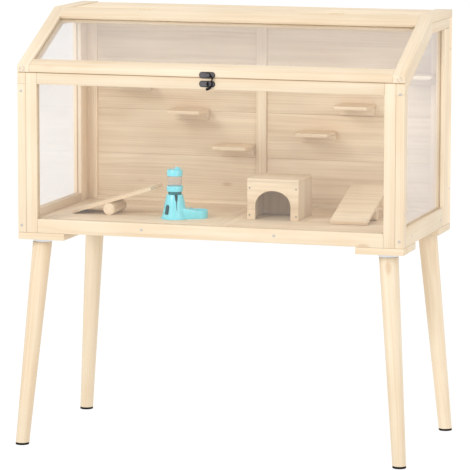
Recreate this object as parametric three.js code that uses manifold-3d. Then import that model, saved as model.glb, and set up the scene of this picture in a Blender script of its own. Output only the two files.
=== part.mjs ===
// Raised hamster cage: a pine box with clear acrylic walls and a sloping lift-up lid, standing on four
// splayed legs, with six wall shelves, two rocking ramps, a house and a water feeder inside.
// Millimetres, +Z up. The origin is on the floor under the middle of the cage, and the front faces -Y.
// Inside the cage group x runs from the left side, y from the front face and z from the cage's underside.
import * as THREE from "three";
import { mergeVertices } from "three/addons/utils/BufferGeometryUtils.js";
import Module from "manifold-3d";

const wasm = await Module();
wasm.setup();

// Cage box
const WIDTH = 1000;
const DEPTH = 500;
const CAGE_Z = 545; // height of the cage's underside above the floor
const RIDGE_Y = 280; // where the slope meets the flat top
const TOP_Z = 550;
const LIP_Z = 423; // top of the lid's front lip
const LIP_HEIGHT = 19.8;
const SEAT_GAP = 0.7; // between the lid and the frame it rests on
const GAP = 0.3; // between touching pieces

// Frame members
const SIDE_T = 22; // thickness of the side and front frames
const FRONT_STILE = 29;
const FRONT_BOTTOM = 35;
const FRONT_TOP = 27;
const SIDE_STILE = 30;
const SIDE_REAR_STILE = 51;
const SIDE_BOTTOM = 48;
const SIDE_TOP = 26;
const BACK_T = 28;
const BACK_STILE = 48;
const BACK_BOTTOM = 37;
const BATTEN = 27;
const BOARD_SEAMS = [152, 270, 388]; // heights of the grooves between the back boards
const FLOOR_Z = 28;
const FLOOR_T = 14;
const FLOOR_EDGE = 26; // width of the edge strip on each floor panel
const TOP_PANEL_T = 19;
const TOP_CAP = 43; // width of the raised cap at each end of the top panel

// Acrylic
const PANE_T = 3;
const PANE_HOLD = 6; // how far a pane sits in its groove
const PANE_PLAY = 1; // free depth beyond the pane in its groove

// Lid
const LID_T = 18;
const LID_STILE = 31;
const LID_BOTTOM = 33;
const LID_PANE_END = 257; // along the slope, where the pane's opening ends
const LID_BACK = 0.8; // from the ridge to the lid's rear face
const TOP_FRONT = 1.2; // from the ridge to the top panel's front face
const HINGE_RISE = 0.3; // hinge axis above the ridge
const HINGE_LENGTH = 40;
const HINGE_CENTRES = [250, 750];

// Legs
const PLATE_X = 122;
const PLATE_Y = 126;
const PLATE_T = 17.4;
const LEG_TOP_R = 24.5;
const LEG_FOOT_R = 17;
const LEG_TOP = new THREE.Vector3(49, 47, -PLATE_T);
const LEG_FOOT = new THREE.Vector3(6, 2, -CAGE_Z);
const COLLAR_H = 9;
const COLLAR_R = 30;

// Shelves: left edge and top height of each
const SHELF_W = 92;
const SHELF_D = 90;
const SHELF_T = 9;
const CLEAT_T = 12;
const CLEAT_H = 30;
const SHELVES = [
  ["shelf_far_left", 108, 349],
  ["shelf_upper_left", 265, 278],
  ["shelf_lower_left", 389, 188],
  ["shelf_lower_right", 609, 230],
  ["shelf_upper_right", 713, 303],
  ["shelf_far_right", 876, 387],
];

// Rocking ramps
const LOG_R = 15.2;
const LOG_L = 100;
const RAMP_W = 97;
const RAMP_T = 9;
const RAMP_LOW = 99; // from the log to the end that rests on the floor
const RAMP_HIGH = 124;
const RAMP_TILT = THREE.MathUtils.degToRad(17.5);

// House
const HOUSE = { x: 541, y: 206, width: 135, depth: 125, height: 104 };
const HOUSE_WALL = 9;
const HOUSE_ROOF = 7;
const DOOR_W = 93;
const DOOR_SPRING = 35; // height of the door's straight sides
const DOOR_RISE = 39; // height of the arch above them

// Feeder
const FEEDER = { x: 362, y: 165, turn: 28 };
const CONE_H = 61.7;
const CONE_R = 33.5;
const NECK_R = 20.5;
const BOWL_R = 25;
const BOWL_H = 22;
const BOWL_OUT = 60;

// Materials
function matter(color, roughness, extra = {}) {
  return new THREE.MeshStandardMaterial({ color, roughness, metalness: 0, ...extra });
}
const PINE = matter(0xffecd0, 0.6);
const BOARD = matter(0xe0c8a8, 0.65);
const ACRYLIC = matter(0xf4f6f6, 0.08, { transparent: true, opacity: 0.2 });
const BLACK_METAL = matter(0x24262a, 0.4, { metalness: 0.6 });
const ZINC = matter(0xc9c7c0, 0.35, { metalness: 0.9 });
const TURQUOISE = matter(0x96e6f0, 0.3);
const CLEAR = matter(0xe8f2f2, 0.1, { transparent: true, opacity: 0.3 });

const slopeAngle = Math.atan2(TOP_Z - LIP_Z, RIDGE_Y);
const slope = Math.tan(slopeAngle);
const seatZ = LIP_Z - LIP_HEIGHT - SEAT_GAP; // top of the front wall

// A geometry as a solid that can be joined and cut.
function solid(geometry) {
  const bare = geometry.index ? geometry.toNonIndexed() : geometry.clone();
  bare.deleteAttribute("normal");
  bare.deleteAttribute("uv");
  const merged = mergeVertices(bare, 1e-4);
  return new wasm.Manifold(
    new wasm.Mesh({
      numProp: 3,
      vertProperties: merged.attributes.position.array,
      triVerts: new Uint32Array(merged.index.array),
    }),
  );
}

function geometryOf(body) {
  const { vertProperties, triVerts } = body.getMesh();
  const geometry = new THREE.BufferGeometry();
  geometry.setAttribute("position", new THREE.BufferAttribute(vertProperties, 3));
  geometry.setIndex(new THREE.BufferAttribute(triVerts, 1));
  return geometry;
}

function cut(geometry, ...tools) {
  return geometryOf(tools.reduce((body, tool) => body.subtract(solid(tool)), solid(geometry)));
}

function join(...geometries) {
  return geometryOf(geometries.map(solid).reduce((a, b) => a.add(b)));
}

function mesh(name, geometry, material) {
  const made = new THREE.Mesh(geometry, material);
  made.name = name;
  return made;
}

function box(x0, x1, y0, y1, z0, z1) {
  return new THREE.BoxGeometry(x1 - x0, y1 - y0, z1 - z0).translate(
    (x0 + x1) / 2,
    (y0 + y1) / 2,
    (z0 + z1) / 2,
  );
}

function extrude(shape, depth, curveSegments = 8) {
  return new THREE.ExtrudeGeometry(shape, { depth, bevelEnabled: false, curveSegments });
}

function shapeOf(points) {
  return new THREE.Shape(points.map(([a, b]) => new THREE.Vector2(a, b)));
}

// A [y, z] outline carried along x.
function prismX(points, x0, x1) {
  const basis = new THREE.Matrix4().makeBasis(
    new THREE.Vector3(0, 1, 0),
    new THREE.Vector3(0, 0, 1),
    new THREE.Vector3(1, 0, 0),
  );
  return extrude(shapeOf(points), x1 - x0).applyMatrix4(basis).translate(x0, 0, 0);
}

// An [x, z] shape carried along y.
function prismY(shape, y0, y1, curveSegments) {
  return extrude(shape, y1 - y0, curveSegments).rotateX(Math.PI / 2).translate(0, y1, 0);
}

function cylinderY(radius, y0, y1, x, z, sides = 24) {
  return new THREE.CylinderGeometry(radius, radius, y1 - y0, sides).translate(x, (y0 + y1) / 2, z);
}

function cylinderX(radius, x0, x1, y, z, sides = 16) {
  return new THREE.CylinderGeometry(radius, radius, x1 - x0, sides)
    .rotateZ(Math.PI / 2)
    .translate((x0 + x1) / 2, y, z);
}

// A point of the lid: s along its outer face from the front edge, n below that face.
function lidPoint(s, n) {
  return [
    s * Math.cos(slopeAngle) + n * Math.sin(slopeAngle),
    LIP_Z + s * Math.sin(slopeAngle) - n * Math.cos(slopeAngle),
  ];
}

function paneSlot(thickness) {
  return [(SIDE_T - thickness) / 2, (SIDE_T + thickness) / 2];
}

// Front wall

function frontWall() {
  const left = SIDE_T + FRONT_STILE;
  const right = WIDTH - left;
  const openingTop = seatZ - FRONT_TOP;
  const bevelled = (bottom) => [
    [0, bottom],
    [SIDE_T, bottom],
    [SIDE_T, seatZ + slope * SIDE_T],
    [0, seatZ],
  ];
  const sheet = (hold, thickness) => {
    const [y0, y1] = paneSlot(thickness);
    return box(left - hold, right + hold, y0, y1, FRONT_BOTTOM - hold, openingTop + hold);
  };
  const groove = sheet(PANE_HOLD + PANE_PLAY, PANE_T + 2 * GAP);
  const group = new THREE.Group();
  group.add(
    mesh("front_stile_left", cut(prismX(bevelled(0), SIDE_T + GAP, left), groove), PINE),
    mesh("front_stile_right", cut(prismX(bevelled(0), right, WIDTH - SIDE_T - GAP), groove), PINE),
    mesh("front_bottom_rail", cut(box(left + GAP, right - GAP, 0, SIDE_T, 0, FRONT_BOTTOM), groove), PINE),
    mesh("front_top_rail", cut(prismX(bevelled(openingTop), left + GAP, right - GAP), groove), PINE),
    mesh("front_pane", sheet(PANE_HOLD, PANE_T), ACRYLIC),
  );
  return group;
}

// Side walls

const sideRear = DEPTH - BACK_T - GAP;
const sideTop = TOP_Z - TOP_PANEL_T - GAP;

// The underside of the sloping part of a side's upper rail, raised by the given distance.
function underSlope(y, raise = 0) {
  return seatZ - FRONT_TOP + slope * y + raise / Math.cos(slopeAngle);
}

function sideOpening(grow) {
  const rear = sideRear - SIDE_REAR_STILE;
  const top = sideTop - SIDE_TOP + grow;
  const front = SIDE_STILE - grow;
  const bend = (top - underSlope(0, grow)) / slope;
  return [
    [front, SIDE_BOTTOM - grow],
    [rear + grow, SIDE_BOTTOM - grow],
    [rear + grow, top],
    [bend, top],
    [front, underSlope(front, grow)],
  ];
}

function sideWall(side, x0) {
  const x1 = x0 + SIDE_T;
  const rear = sideRear - SIDE_REAR_STILE;
  const [near, far] = paneSlot(PANE_T + 2 * GAP);
  const [paneNear, paneFar] = paneSlot(PANE_T);
  const groove = prismX(sideOpening(PANE_HOLD + PANE_PLAY), x0 + near, x0 + far);
  const frontStile = [
    [0, 0],
    [SIDE_STILE, 0],
    [SIDE_STILE, underSlope(SIDE_STILE) - GAP],
    [0, underSlope(0) - GAP],
  ];
  const underRail = sideTop - SIDE_TOP;
  const upperRail = [
    [0, underSlope(0)],
    [(underRail - underSlope(0)) / slope, underRail],
    [sideRear, underRail],
    [sideRear, sideTop],
    [(sideTop - seatZ) / slope, sideTop],
    [0, seatZ],
  ];
  const group = new THREE.Group();
  group.add(
    mesh(side + "_side_front_stile", cut(prismX(frontStile, x0, x1), groove), PINE),
    mesh(
      side + "_side_bottom_rail",
      cut(box(x0, x1, SIDE_STILE + GAP, rear - GAP, 0, SIDE_BOTTOM), groove),
      PINE,
    ),
    mesh(side + "_side_rear_stile", cut(box(x0, x1, rear, sideRear, 0, underRail - GAP), groove), PINE),
    mesh(side + "_side_upper_rail", cut(prismX(upperRail, x0, x1), groove), PINE),
    mesh(side + "_side_pane", prismX(sideOpening(PANE_HOLD), x0 + paneNear, x0 + paneFar), ACRYLIC),
  );
  return group;
}

// Back wall: each half is a framed set of four boards, and a batten covers the middle.

const BOARD_FRONT = DEPTH - BACK_T + 6;
const BOARD_BACK = BOARD_FRONT + 14;

function vGroove(z, x0, x1) {
  const half = 1.5;
  return prismX(
    [
      [BOARD_FRONT - GAP, z - half],
      [BOARD_FRONT + half, z],
      [BOARD_FRONT - GAP, z + half],
    ],
    x0,
    x1,
  );
}

function backPanel(name, x0, x1, boards) {
  const [b0, b1] = boards;
  const top = sideTop - SIDE_TOP;
  const recess = (y0, y1) => box(b0, b1, y0, y1, BACK_BOTTOM, top);
  const body = cut(
    box(x0, x1, DEPTH - BACK_T, DEPTH, 0, sideTop),
    recess(DEPTH - BACK_T - 1, BOARD_FRONT),
    recess(BOARD_BACK, DEPTH + 1),
    ...BOARD_SEAMS.map((z) => vGroove(z, b0, b1)),
  );
  return mesh(name, body, BOARD);
}

function backWall() {
  const middle = WIDTH / 2;
  const batten = BATTEN / 2;
  const group = new THREE.Group();
  group.add(
    backPanel("back_panel_left", 0, middle - batten - GAP, [BACK_STILE, middle]),
    backPanel("back_panel_right", middle + batten + GAP, WIDTH, [middle, WIDTH - BACK_STILE]),
    mesh("back_batten", box(middle - batten, middle + batten, DEPTH - BACK_T, DEPTH, 0, sideTop), PINE),
  );
  return group;
}

function shelf(name, left, top) {
  const wall = BOARD_FRONT - GAP;
  const front = wall - SHELF_D;
  const outline = [
    [front, top - SHELF_T],
    [wall - CLEAT_T, top - SHELF_T],
    [wall - CLEAT_T, top - CLEAT_H],
    [wall, top - CLEAT_H],
    [wall, top],
    [front, top],
  ];
  const right = left + SHELF_W;
  const stile = WIDTH - BACK_STILE - GAP;
  const body = prismX(outline, left, right);
  if (right < stile) return mesh(name, body, BOARD);
  // a shelf that reaches over the wall's stile is notched round it
  const notch = box(stile, right + 1, DEPTH - BACK_T - GAP, DEPTH, 0, TOP_Z);
  return mesh(name, cut(body, notch), BOARD);
}

// Floor: two panels side by side on two joists

function floorPanel(name, x0, x1) {
  const y0 = SIDE_T + GAP;
  const y1 = DEPTH - BACK_T - GAP;
  const depth = 1;
  const line = (x) => box(x - depth / 2, x + depth / 2, y0 - 1, y1 + 1, FLOOR_Z - depth, FLOOR_Z + 1);
  const body = cut(
    box(x0, x1, y0, y1, FLOOR_Z - FLOOR_T, FLOOR_Z),
    line(x0 + FLOOR_EDGE),
    line(x1 - FLOOR_EDGE),
  );
  return mesh(name, body, BOARD);
}

function floor() {
  const middle = WIDTH / 2;
  const under = FLOOR_Z - FLOOR_T - GAP;
  const joist = (name, x) =>
    mesh(name, box(x - 14, x + 14, SIDE_T + GAP, DEPTH - BACK_T - GAP, 0, under), PINE);
  const group = new THREE.Group();
  group.add(
    floorPanel("floor_panel_left", SIDE_T + GAP, middle - GAP / 2),
    floorPanel("floor_panel_right", middle + GAP / 2, WIDTH - SIDE_T - GAP),
    joist("floor_joist_left", WIDTH * 0.33),
    joist("floor_joist_right", WIDTH * 0.67),
  );
  return group;
}

// Flat top and the rail under its front edge

function hingeBarrelRoom(x) {
  return cylinderX(2.5, x - HINGE_LENGTH / 2 - 1, x + HINGE_LENGTH / 2 + 1, RIDGE_Y, TOP_Z + HINGE_RISE);
}

function flatTop() {
  const front = RIDGE_Y + TOP_FRONT;
  const bottom = TOP_Z - TOP_PANEL_T;
  const leafRoom = (x) =>
    box(
      x - HINGE_LENGTH / 2 - GAP,
      x + HINGE_LENGTH / 2 + GAP,
      front - 1,
      front + 1,
      TOP_Z - 17,
      TOP_Z + 1,
    );
  const panel = cut(
    box(0, WIDTH, front, DEPTH, bottom, TOP_Z),
    box(TOP_CAP, WIDTH - TOP_CAP, front - 1, DEPTH + 1, TOP_Z - 2.5, TOP_Z + 1),
    ...HINGE_CENTRES.flatMap((x) => [leafRoom(x), hingeBarrelRoom(x)]),
  );
  const group = new THREE.Group();
  group.add(
    mesh("top_panel", panel, BOARD),
    mesh(
      "ridge_rail",
      box(SIDE_T + GAP, WIDTH - SIDE_T - GAP, front, front + SIDE_T, bottom - 16, bottom - GAP),
      PINE,
    ),
  );
  return group;
}

// Lid

function lid() {
  const inner = LID_STILE;
  const back = RIDGE_Y - LID_BACK;
  const outerZ = (y) => LIP_Z + slope * y;
  const stile = [
    [0, LIP_Z - LIP_HEIGHT],
    [back, outerZ(back) - LIP_HEIGHT],
    [back, outerZ(back)],
    [0, LIP_Z],
  ];
  const bottomRail = [
    [0, LIP_Z - LIP_HEIGHT],
    lidPoint(LID_BOTTOM, LID_T),
    lidPoint(LID_BOTTOM, 0),
    [0, LIP_Z],
  ];
  const topRail = [
    lidPoint(LID_PANE_END, LID_T),
    [back, outerZ(back) - LIP_HEIGHT],
    [back, outerZ(back)],
    lidPoint(LID_PANE_END, 0),
  ];
  const sheet = (hold, thickness) => {
    const n0 = (LID_T - thickness) / 2;
    const n1 = (LID_T + thickness) / 2;
    const outline = [
      lidPoint(LID_BOTTOM - hold, n1),
      lidPoint(LID_PANE_END + hold, n1),
      lidPoint(LID_PANE_END + hold, n0),
      lidPoint(LID_BOTTOM - hold, n0),
    ];
    return prismX(outline, inner - hold, WIDTH - inner + hold);
  };
  const groove = sheet(PANE_HOLD + PANE_PLAY, PANE_T + 2 * GAP);
  const leafRoom = (x) =>
    box(
      x - HINGE_LENGTH / 2 - GAP,
      x + HINGE_LENGTH / 2 + GAP,
      back - 1,
      back + 1,
      TOP_Z - 17,
      TOP_Z + 2,
    );
  const rooms = HINGE_CENTRES.flatMap((x) => [leafRoom(x), hingeBarrelRoom(x)]);
  const group = new THREE.Group();
  group.add(
    mesh("lid_stile_left", cut(prismX(stile, 0, inner), groove), PINE),
    mesh("lid_stile_right", cut(prismX(stile, WIDTH - inner, WIDTH), groove), PINE),
    mesh("lid_bottom_rail", cut(prismX(bottomRail, inner + GAP, WIDTH - inner - GAP), groove), PINE),
    mesh("lid_top_rail", cut(prismX(topRail, inner + GAP, WIDTH - inner - GAP), groove, ...rooms), PINE),
    mesh("lid_pane", sheet(PANE_HOLD, PANE_T), ACRYLIC),
  );
  return group;
}

// Butt hinges in the joint between the lid and the top: the lid's leaf has two knuckles, and the top's
// leaf has the middle knuckle and the pin.

function hinge(side, x) {
  const axisZ = TOP_Z + HINGE_RISE;
  const barrelR = 1.9;
  const pinR = 0.8;
  const holeR = 1.2;
  const leafT = 0.7;
  const half = HINGE_LENGTH / 2;
  const knuckle = HINGE_LENGTH / 6;
  const barrel = (x0, x1) => cylinderX(barrelR, x0, x1, RIDGE_Y, axisZ);
  const lidBack = RIDGE_Y - LID_BACK;
  const topFront = RIDGE_Y + TOP_FRONT;
  const lidLeaf = cut(
    join(
      box(x - half, x + half, lidBack - leafT + GAP, lidBack + GAP, TOP_Z - 16, TOP_Z - 1.8),
      box(x - half, x - knuckle - GAP, RIDGE_Y - 1.5, RIDGE_Y - 0.5, TOP_Z - 2.2, axisZ),
      box(x + knuckle + GAP, x + half, RIDGE_Y - 1.5, RIDGE_Y - 0.5, TOP_Z - 2.2, axisZ),
      barrel(x - half, x - knuckle - GAP),
      barrel(x + knuckle + GAP, x + half),
    ),
    cylinderX(holeR, x - half - 1, x + half + 1, RIDGE_Y, axisZ, 12),
  );
  const topLeaf = join(
    box(x - half, x + half, topFront - GAP, topFront + leafT - GAP, TOP_Z - 16, TOP_Z - 1.8),
    box(x - knuckle, x + knuckle, RIDGE_Y + 0.4, topFront + 0.2, TOP_Z - 2.2, axisZ),
    barrel(x - knuckle, x + knuckle),
    cylinderX(pinR, x - half, x + half, RIDGE_Y, axisZ, 12),
  );
  const group = new THREE.Group();
  group.add(
    mesh("hinge_" + side + "_lid_leaf", lidLeaf, ZINC),
    mesh("hinge_" + side + "_top_leaf", topLeaf, ZINC),
  );
  return group;
}

// Latch: an oval plate with a pivot on the lid's lip, an oval plate with a short stud on the front rail,
// and a hook that swings from the pivot just in front of the stud.

const LATCH = { x: 499, upperZ: 411.3, lowerZ: 389.4, width: 41, height: 16 };
const PIVOT = { x: 503, z: 412 };
const STUD = { x: 501, z: 390 };
const PLATE_FRONT = -2.3;
const HOOK_BACK = -4.7;
const HOOK_FRONT = -7.1;

function ovalPlate(name, z, boss, ...fittings) {
  const r = LATCH.height / 2;
  const reach = LATCH.width / 2 - r;
  const oval = new THREE.Shape();
  oval.absarc(LATCH.x + reach, z, r, -Math.PI / 2, Math.PI / 2);
  oval.absarc(LATCH.x - reach, z, r, Math.PI / 2, (3 * Math.PI) / 2);
  const plate = prismY(oval, PLATE_FRONT, -GAP);
  const raised = cylinderY(3.4, HOOK_BACK + GAP, -1, boss.x, boss.z, 16);
  return mesh(name, join(plate, raised, ...fittings), BLACK_METAL);
}

function latchHook() {
  const y0 = HOOK_FRONT;
  const y1 = HOOK_BACK;
  const width = 5;
  const catchInner = 3.3;
  const catchOuter = 8.3;
  const from = THREE.MathUtils.degToRad(-105);
  const to = THREE.MathUtils.degToRad(35);
  const bar = (xa, za, xb, zb, w) => {
    const length = Math.hypot(xb - xa, zb - za);
    return new THREE.BoxGeometry(length, y1 - y0, w)
      .rotateY(-Math.atan2(zb - za, xb - xa))
      .translate((xa + xb) / 2, (y0 + y1) / 2, (za + zb) / 2);
  };
  const curl = new THREE.Shape();
  curl.absarc(STUD.x, STUD.z, catchOuter, from, to, false);
  curl.absarc(STUD.x, STUD.z, catchInner, to, from, true);
  const middle = (catchInner + catchOuter) / 2;
  const armX = STUD.x + middle * Math.cos(to);
  const armZ = STUD.z + middle * Math.sin(to);
  const body = cut(
    join(
      cylinderY(5.5, y0, y1, PIVOT.x, PIVOT.z),
      bar(PIVOT.x + 1.5, PIVOT.z - 1, armX + 2.5, armZ + 6, width),
      bar(armX + 2.2, armZ + 8, armX + 0.4, armZ - 2, width),
      prismY(curl, y0, y1, 20),
      bar(STUD.x - 0.5, STUD.z - middle - 0.5, STUD.x - 5, STUD.z - 16, 4),
    ),
    cylinderY(2.7, y0 - 1, y1 + 1, PIVOT.x, PIVOT.z, 20),
  );
  return mesh("latch_hook", body, BLACK_METAL);
}

function latch() {
  const group = new THREE.Group();
  group.add(
    ovalPlate(
      "latch_upper_plate",
      LATCH.upperZ,
      PIVOT,
      cylinderY(2.4, HOOK_FRONT - 1, -1, PIVOT.x, PIVOT.z, 16),
      cylinderY(4, HOOK_FRONT - 2, HOOK_FRONT - GAP, PIVOT.x, PIVOT.z, 16),
    ),
    ovalPlate("latch_lower_plate", LATCH.lowerZ, STUD),
    latchHook(),
  );
  return group;
}

// Legs: a board under each corner carries a flared collar, and a tapered leg leans out below it.

function alongLeg(geometry, from, direction) {
  const turn = new THREE.Quaternion().setFromUnitVectors(new THREE.Vector3(0, -1, 0), direction);
  return geometry.applyQuaternion(turn).translate(from.x, from.y, from.z);
}

function corner(name, mirrorX, mirrorY) {
  const place = (v) => new THREE.Vector3(mirrorX ? WIDTH - v.x : v.x, mirrorY ? DEPTH - v.y : v.y, v.z);
  const top = place(LEG_TOP);
  const foot = place(LEG_FOOT);
  const direction = foot.clone().sub(top);
  const length = direction.length();
  direction.normalize();
  const px = mirrorX ? WIDTH - PLATE_X : 0;
  const py = mirrorY ? DEPTH - PLATE_Y : 0;
  const under = -GAP - PLATE_T;
  const collarEnd = under - COLLAR_H;
  const slab = (z0, z1) => box(top.x - 150, top.x + 150, top.y - 150, top.y + 150, z0, z1);
  const flare = COLLAR_R - LEG_TOP_R;
  const collar = new THREE.CylinderGeometry(COLLAR_R + flare, LEG_TOP_R - flare, 3 * COLLAR_H, 32);
  const collarBody = cut(
    alongLeg(collar.translate(0, -COLLAR_H / 2, 0), top, direction),
    slab(-GAP - PLATE_T / 2, 100),
    slab(-300, collarEnd),
  );
  const spare = 40;
  const taper = ((LEG_TOP_R - LEG_FOOT_R) / length) * spare;
  const leg = new THREE.CylinderGeometry(LEG_TOP_R + taper, LEG_FOOT_R - taper, length + 2 * spare, 32);
  const legBody = cut(
    alongLeg(leg.translate(0, -length / 2, 0), top, direction),
    slab(collarEnd - GAP, 200),
    slab(-CAGE_Z - 200, -CAGE_Z),
  );
  const block = box(px, px + PLATE_X, py, py + PLATE_Y, under, -GAP);
  const group = new THREE.Group();
  group.add(
    mesh("leg_plate_" + name, join(block, collarBody), PINE),
    mesh("leg_" + name, legBody, PINE),
  );
  return group;
}

// Rocking ramp: a board that lies across a log, with one end on the floor. Its group stands on the log's
// axis at one end of the log, with the board rising along the group's +x.

function ramp(name, x, y, turn) {
  const group = new THREE.Group();
  group.position.set(x, y, FLOOR_Z + GAP + LOG_R);
  group.rotation.z = turn;
  const log = mesh(name + "_log", cylinderY(LOG_R, 0, LOG_L, 0, 0, 32), BOARD);
  const under = LOG_R + GAP;
  const board = mesh(name + "_board", box(-RAMP_LOW, RAMP_HIGH, 0, RAMP_W, under, under + RAMP_T), BOARD);
  const tilted = new THREE.Group();
  tilted.rotation.y = -RAMP_TILT;
  tilted.position.y = (LOG_L - RAMP_W) / 2;
  tilted.add(board);
  group.add(log, tilted);
  return group;
}

// House

function house() {
  const { x, y, width, depth, height } = HOUSE;
  const eaves = height - HOUSE_ROOF - GAP;
  const front = new THREE.Shape();
  const middle = width / 2;
  const half = DOOR_W / 2;
  front.moveTo(0, 0);
  front.lineTo(middle - half, 0);
  front.lineTo(middle - half, DOOR_SPRING);
  front.absellipse(middle, DOOR_SPRING, half, DOOR_RISE, Math.PI, 0, true);
  front.lineTo(middle + half, 0);
  front.lineTo(width, 0);
  front.lineTo(width, eaves);
  front.lineTo(0, eaves);
  const shell = cut(
    box(0, width, HOUSE_WALL + GAP, depth, 0, eaves),
    box(HOUSE_WALL, width - HOUSE_WALL, 0, depth - HOUSE_WALL, -1, eaves + 1),
  );
  const group = new THREE.Group();
  group.position.set(x, y, FLOOR_Z + GAP);
  group.add(
    mesh("house_front", prismY(front, 0, HOUSE_WALL, 16), PINE),
    mesh("house_walls", shell, PINE),
    mesh("house_roof", box(0, width, 0, depth, eaves + GAP, height), PINE),
  );
  return group;
}

// Feeder: a hollow cone with a food bowl, a clear bottle hung in its top, and the bottle's cap

function lathe(points, sides = 40) {
  const profile = points.map(([r, z]) => new THREE.Vector2(r, z));
  return new THREE.LatheGeometry(profile, sides).rotateX(Math.PI / 2);
}

function feederBase() {
  const wall = 2;
  const outer = lathe([
    [0, 0],
    [36, 0],
    [36, 3],
    [CONE_R, 5],
    [NECK_R, CONE_H],
    [0, CONE_H],
  ]);
  const inner = lathe([
    [0, -1],
    [CONE_R - wall, -1],
    [CONE_R - wall, 5],
    [NECK_R - wall, CONE_H - wall],
    [0, CONE_H - wall],
  ]);
  const bowl = (radius, z0, z1) => {
    const shape = new THREE.Shape();
    shape.moveTo(20, -radius);
    shape.lineTo(BOWL_OUT, -radius);
    shape.absarc(BOWL_OUT, 0, radius, -Math.PI / 2, Math.PI / 2);
    shape.lineTo(20, radius);
    return extrude(shape, z1 - z0, 12).translate(0, 0, z0);
  };
  const hollow = new THREE.CylinderGeometry(BOWL_R - wall, BOWL_R - wall - 2, BOWL_H, 32)
    .rotateX(Math.PI / 2)
    .translate(BOWL_OUT, 0, BOWL_H / 2 + 3);
  const windowShape = new THREE.Shape();
  windowShape.moveTo(-14, 8);
  windowShape.lineTo(14, 8);
  windowShape.lineTo(14, 26);
  windowShape.absarc(0, 26, 14, 0, Math.PI);
  const windowTool = prismY(windowShape, -50, 0, 10).rotateZ(THREE.MathUtils.degToRad(-72));
  const slot = prismY(
    shapeOf([
      [-1.5, 22],
      [1.5, 22],
      [4, CONE_H - 8],
      [4, CONE_H + 1],
      [-4, CONE_H + 1],
      [-4, CONE_H - 8],
    ]),
    -50,
    0,
  );
  const throat = new THREE.CylinderGeometry(7, 7, 20, 20).rotateX(Math.PI / 2).translate(0, 0, CONE_H);
  const body = cut(join(outer, bowl(BOWL_R, 0, BOWL_H)), inner, hollow, windowTool, slot, throat);
  return mesh("feeder_base", body, TURQUOISE);
}

function feederBottle() {
  const seat = CONE_H + GAP;
  const ring = seat + 7.5;
  const body = lathe([
    [0, 30],
    [3, 32],
    [5, 38],
    [5, seat],
    [17, seat],
    [17, ring],
    [NECK_R, ring],
    [NECK_R, ring + 14],
    [18.5, ring + 14],
    [18.5, ring + 39],
    [17, ring + 39],
    [17, ring + 2],
    [0, ring + 2],
  ]);
  return mesh("feeder_bottle", body, CLEAR);
}

function feederCap() {
  const bottom = CONE_H + 7.5 + 39 + 2 * GAP;
  const body = lathe([
    [0, bottom],
    [20, bottom],
    [20, bottom + 15],
    [18, bottom + 17],
    [4, bottom + 17],
    [3.5, bottom + 22],
    [0, bottom + 22],
  ]);
  return mesh("feeder_cap", body, TURQUOISE);
}

function feeder() {
  const group = new THREE.Group();
  group.position.set(FEEDER.x, FEEDER.y, FLOOR_Z + GAP);
  group.rotation.z = THREE.MathUtils.degToRad(FEEDER.turn);
  group.add(feederBase(), feederBottle(), feederCap());
  return group;
}

// Assembly

const cage = new THREE.Group();
cage.position.set(-WIDTH / 2, -DEPTH / 2, CAGE_Z);
cage.add(
  frontWall(),
  sideWall("left", 0),
  sideWall("right", WIDTH - SIDE_T),
  backWall(),
  floor(),
  flatTop(),
  lid(),
  hinge("left", HINGE_CENTRES[0]),
  hinge("right", HINGE_CENTRES[1]),
  latch(),
  corner("front_left", false, false),
  corner("front_right", true, false),
  corner("back_left", false, true),
  corner("back_right", true, true),
  ...SHELVES.map(([name, left, top]) => shelf(name, left, top)),
  ramp("left_ramp", 183.2, 170, 0),
  ramp("right_ramp", 864, 277, Math.PI / 2),
  house(),
  feeder(),
);

const part = new THREE.Group();
part.add(cage);
export default part;
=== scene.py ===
"""Looks for the hamster cage: a pine box with acrylic walls and a sloping lid, on four splayed legs.

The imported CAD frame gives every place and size. Each operator below finishes one group of pieces, in
metres, in the CAD's own frame: +X to the right, +Y to the back, +Z up from the floor.
"""

import math

import bpy
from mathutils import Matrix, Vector


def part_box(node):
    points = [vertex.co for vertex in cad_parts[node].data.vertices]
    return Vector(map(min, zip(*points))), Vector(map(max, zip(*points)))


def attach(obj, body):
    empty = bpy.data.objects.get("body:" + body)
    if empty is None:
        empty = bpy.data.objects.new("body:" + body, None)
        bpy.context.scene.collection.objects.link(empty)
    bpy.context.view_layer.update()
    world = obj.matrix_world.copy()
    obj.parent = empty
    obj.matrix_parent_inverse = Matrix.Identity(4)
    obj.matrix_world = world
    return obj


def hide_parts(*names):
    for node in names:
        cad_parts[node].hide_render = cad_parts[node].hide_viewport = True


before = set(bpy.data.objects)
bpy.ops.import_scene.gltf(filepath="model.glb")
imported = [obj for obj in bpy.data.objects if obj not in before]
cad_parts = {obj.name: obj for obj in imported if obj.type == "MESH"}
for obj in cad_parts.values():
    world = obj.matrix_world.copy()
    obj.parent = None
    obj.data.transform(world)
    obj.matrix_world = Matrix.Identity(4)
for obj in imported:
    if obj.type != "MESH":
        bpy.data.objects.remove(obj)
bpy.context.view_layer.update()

bl_info = {
    "name": "Hamster Cage",
    "version": (1, 0, 0),
    "blender": (4, 5, 0),
    "location": "View3D > Sidebar > Cage",
    "description": "Finishes the pieces of a raised pine and acrylic hamster cage",
    "category": "Add Mesh",
}

X, Y, Z = Vector((1, 0, 0)), Vector((0, 1, 0)), Vector((0, 0, 1))
MM = 0.001
SIDES = (("left", -1), ("right", 1))
CORNERS = ("front_left", "front_right", "back_left", "back_right")
MERGE = 0.02 * MM
FLAT = math.radians(1)
SHARP = math.radians(28)
LID_LIP = 19.8 * MM

# Places that the CAD frame gives
CAGE_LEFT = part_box("back_panel_left")[0].x
CAGE_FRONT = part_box("front_bottom_rail")[0].y
CAGE_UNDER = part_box("front_bottom_rail")[0].z


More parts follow.
